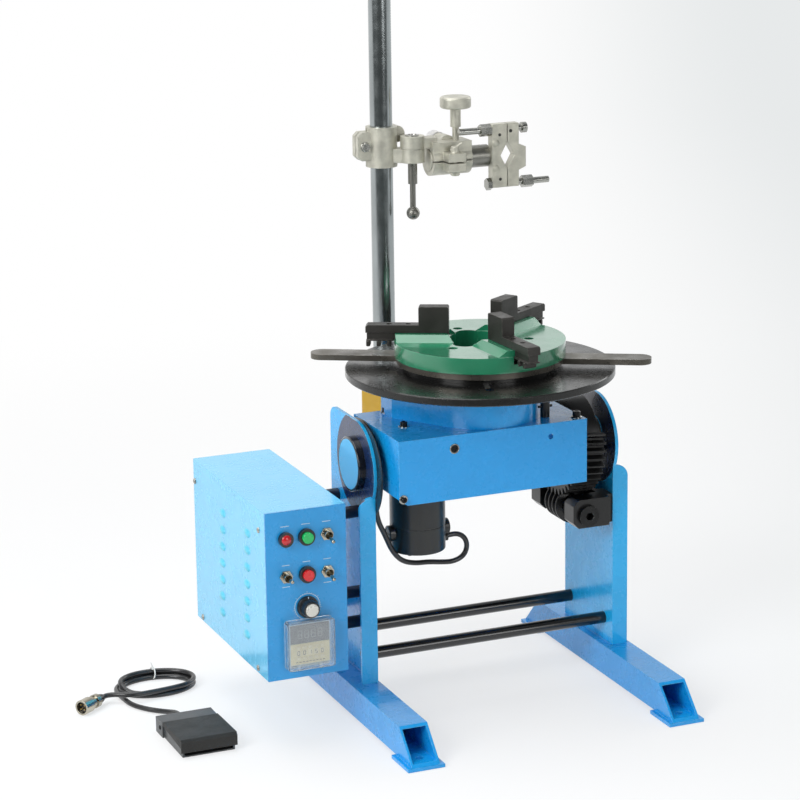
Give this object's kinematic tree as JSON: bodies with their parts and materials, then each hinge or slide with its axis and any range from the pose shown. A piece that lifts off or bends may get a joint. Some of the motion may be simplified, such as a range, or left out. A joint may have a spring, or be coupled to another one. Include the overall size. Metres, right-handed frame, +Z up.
{
  "type": "welding positioner",
  "caption": "Tilting rotary table with a three-jaw scroll chuck on a two-leg frame, a torch column, a control box and a foot pedal.",
  "frame": {"origin": "on the floor, in the middle of the four anchor holes of the feet", "axes": "+X to the right along the tilt axis, +Y to the back, +Z up, as seen by the operator in front"},
  "size_m": [0.648, 0.434, 0.86],
  "materials": {
    "frame_blue": "gloss machine paint",
    "box_blue": "light gloss paint on sheet",
    "panel_blue": "satin paint",
    "arm_yellow": "gloss paint",
    "black_steel": "blackened steel",
    "table_steel": "turned and blackened plate",
    "bright_steel": "ground steel",
    "zinc_steel": "zinc plated",
    "chrome": "polished chrome",
    "chuck_green": "dark green gloss",
    "bearing_steel": "ground",
    "bronze": "blackened gear",
    "motor_black": "satin black",
    "black_plastic": "moulded",
    "grey_plastic": "moulded",
    "red_plastic": "moulded",
    "green_plastic": "moulded",
    "timer_cream": "moulded",
    "clear_plastic": "clear moulded",
    "cable_rubber": "cable jacket"
  },
  "bodies": {
    "frame": {"left_foot": "frame_blue", "right_foot": "frame_blue", "left_upright": "frame_blue", "right_upright": "frame_blue", "crossbars": "black_steel", "trunnion_bearings": "frame_blue", "worm_bracket": "black_steel", "box_spacers": "black_steel", "control_box": "box_blue", "control_panel": "panel_blue", "pilot_lamp": "red_plastic", "button_bezels": "black_plastic", "toggle_bodies": "zinc_steel", "timer_case": "timer_cream", "mains_gland": "black_plastic", "pedal_socket": "zinc_steel", "pedal_base": "grey_plastic", "pedal_cord": "cable_rubber", "pedal_cord_coil": "cable_rubber", "pedal_plug": "zinc_steel"},
    "head": {"housing": "frame_blue", "trunnions": "bright_steel", "sector_wheel": "bronze", "gear_cover": "frame_blue", "bearing_tube": "black_steel", "spindle_bearings": "bearing_steel", "motor": "motor_black", "gearbox": "motor_black", "motor_cable": "cable_rubber", "ground_brush": "black_steel", "column_arm": "arm_yellow", "column": "chrome"},
    "turntable": {"table": "table_steel", "spindle": "bright_steel", "spindle_gear": "bright_steel", "chuck_backplate": "black_steel", "chuck_body": "chuck_green"},
    "motor_pinion": {"motor_pinion": "bright_steel"},
    "worm": {"worm": "bright_steel"},
    "scroll": {"scroll_ring": "zinc_steel"},
    "jaw_left": {"jaw_left": "black_steel"},
    "jaw_right": {"jaw_right": "black_steel"},
    "jaw_front": {"jaw_front": "black_steel"},
    "sleeve": {"torch_sleeve": "black_steel"},
    "height_knob": {"height_knob": "black_steel"},
    "arm": {"swivel_arm": "black_steel"},
    "handle": {"swivel_handle": "black_steel"},
    "cross_tube": {"torch_tube": "black_steel", "torch_clamp_left": "black_steel", "torch_clamp_bolts": "zinc_steel"},
    "tube_knob": {"tube_knob": "black_plastic"},
    "clamp_jaw": {"torch_clamp_right": "black_steel"},
    "start_button": {"start_button": "green_plastic"},
    "stop_button": {"stop_button": "red_plastic"},
    "power_toggle": {"power_toggle": "chrome"},
    "direction_toggle": {"direction_toggle": "chrome"},
    "mode_toggle": {"mode_toggle": "chrome"},
    "speed_dial": {"speed_dial": "black_plastic"},
    "timer_cover": {"timer_cover": "clear_plastic"},
    "treadle": {"pedal_treadle": "black_plastic"}
  },
  "joints": [
    {"name": "head_tilt", "type": "hinge", "parent": "frame", "child": "head", "pos_m": [0, 0.0245, 0.29], "axis": [1, 0, 0], "range_deg": [0, 90]},
    {"name": "worm_spin", "type": "hinge", "parent": "frame", "child": "worm", "pos_m": [0.1178, 0.0245, 0.208], "axis": [0, 1, 0], "range_deg": [-3875, 5]},
    {"name": "table_spin", "type": "hinge", "parent": "head", "child": "turntable", "pos_m": [-0.0064, -0.0035, 0.3966], "axis": [0, 0, 1], "continuous": true},
    {"name": "motor_pinion_spin", "type": "hinge", "parent": "head", "child": "motor_pinion", "pos_m": [-0.07314, 0.02847, 0.355], "axis": [0, 0, 1], "continuous": true},
    {"name": "scroll_turn", "type": "hinge", "parent": "turntable", "child": "scroll", "pos_m": [-0.0064, -0.0035, 0.41], "axis": [0, 0, 1], "range_deg": [-600, 750]},
    {"name": "jaw_left_slide", "type": "slide", "parent": "turntable", "child": "jaw_left", "axis": [-0.891, 0.454, 0], "range_m": [-0.0255, 0.0205]},
    {"name": "jaw_right_slide", "type": "slide", "parent": "turntable", "child": "jaw_right", "axis": [0.8387, 0.5446, 0], "range_m": [-0.0255, 0.0205]},
    {"name": "jaw_front_slide", "type": "slide", "parent": "turntable", "child": "jaw_front", "axis": [0.0523, -0.9986, 0], "range_m": [-0.0255, 0.0205]},
    {"name": "holder_height", "type": "slide", "parent": "head", "child": "sleeve", "axis": [0, 0, 1], "range_m": [-0.11, 0.19]},
    {"name": "height_knob_turn", "type": "hinge", "parent": "sleeve", "child": "height_knob", "pos_m": [-0.0205, 0.2065, 0.636], "axis": [0, 1, 0], "range_deg": [-1830, 1060]},
    {"name": "arm_swivel", "type": "hinge", "parent": "sleeve", "child": "arm", "pos_m": [-0.0072, 0.1862, 0.626], "axis": [0, 0, 1], "range_deg": [-90, 45]},
    {"name": "handle_turn", "type": "hinge", "parent": "sleeve", "child": "handle", "pos_m": [-0.0072, 0.1862, 0.6], "axis": [0, 0, 1], "range_deg": [0, 90]},
    {"name": "cross_tube_roll", "type": "hinge", "parent": "arm", "child": "cross_tube", "pos_m": [0.0133, 0.1862, 0.604], "axis": [1, 0, 0], "range_deg": [0, 90]},
    {"name": "tube_knob_turn", "type": "hinge", "parent": "arm", "child": "tube_knob", "pos_m": [0.0493, 0.1862, 0.66], "axis": [0, 0, 1], "range_deg": [0, 180]},
    {"name": "torch_clamp_open", "type": "slide", "parent": "cross_tube", "child": "clamp_jaw", "axis": [1, 0, 0], "range_m": [0, 0.0055]},
    {"name": "start_button_press", "type": "slide", "parent": "frame", "child": "start_button", "axis": [0, 1, 0], "range_m": [0, 0.0025], "stiffness_N_per_m": 300, "springref_m": -0.003},
    {"name": "stop_button_press", "type": "slide", "parent": "frame", "child": "stop_button", "axis": [0, 1, 0], "range_m": [0, 0.0025], "stiffness_N_per_m": 300, "springref_m": -0.003},
    {"name": "power_toggle_flip", "type": "hinge", "parent": "frame", "child": "power_toggle", "pos_m": [-0.224, -0.073, 0.2425], "axis": [1, 0, 0], "range_deg": [-26, 0]},
    {"name": "direction_toggle_flip", "type": "hinge", "parent": "frame", "child": "direction_toggle", "pos_m": [-0.224, -0.073, 0.199], "axis": [1, 0, 0], "range_deg": [-26, 0]},
    {"name": "mode_toggle_flip", "type": "hinge", "parent": "frame", "child": "mode_toggle", "pos_m": [-0.273, -0.073, 0.199], "axis": [1, 0, 0], "range_deg": [-13, 13]},
    {"name": "speed_dial_turn", "type": "hinge", "parent": "frame", "child": "speed_dial", "pos_m": [-0.2485, -0.069, 0.161], "axis": [0, 1, 0], "range_deg": [-150, 150]},
    {"name": "timer_cover_open", "type": "hinge", "parent": "frame", "child": "timer_cover", "pos_m": [-0.2485, -0.0716, 0.0934], "axis": [1, 0, 0], "range_deg": [0, 80]},
    {"name": "treadle_press", "type": "hinge", "parent": "frame", "child": "treadle", "pos_m": [-0.363, 0.006, 0.011], "axis": [1, 0, 0], "range_deg": [0, 4], "stiffness_Nm_per_rad": 6, "springref_deg": -3.44}
  ],
  "couplings": [
    {"joint": "worm_spin", "follows": "head_tilt", "ratio": -43},
    {"joint": "motor_pinion_spin", "follows": "table_spin", "ratio": -3.1111},
    {"joint": "height_knob_turn", "follows": "holder_height", "rad_per_m": -166.67},
    {"joint": "jaw_left_slide", "follows": "scroll_turn", "m_per_rad": -0.0019099},
    {"joint": "jaw_right_slide", "follows": "scroll_turn", "m_per_rad": -0.0019099},
    {"joint": "jaw_front_slide", "follows": "scroll_turn", "m_per_rad": -0.0019099}
  ]
}
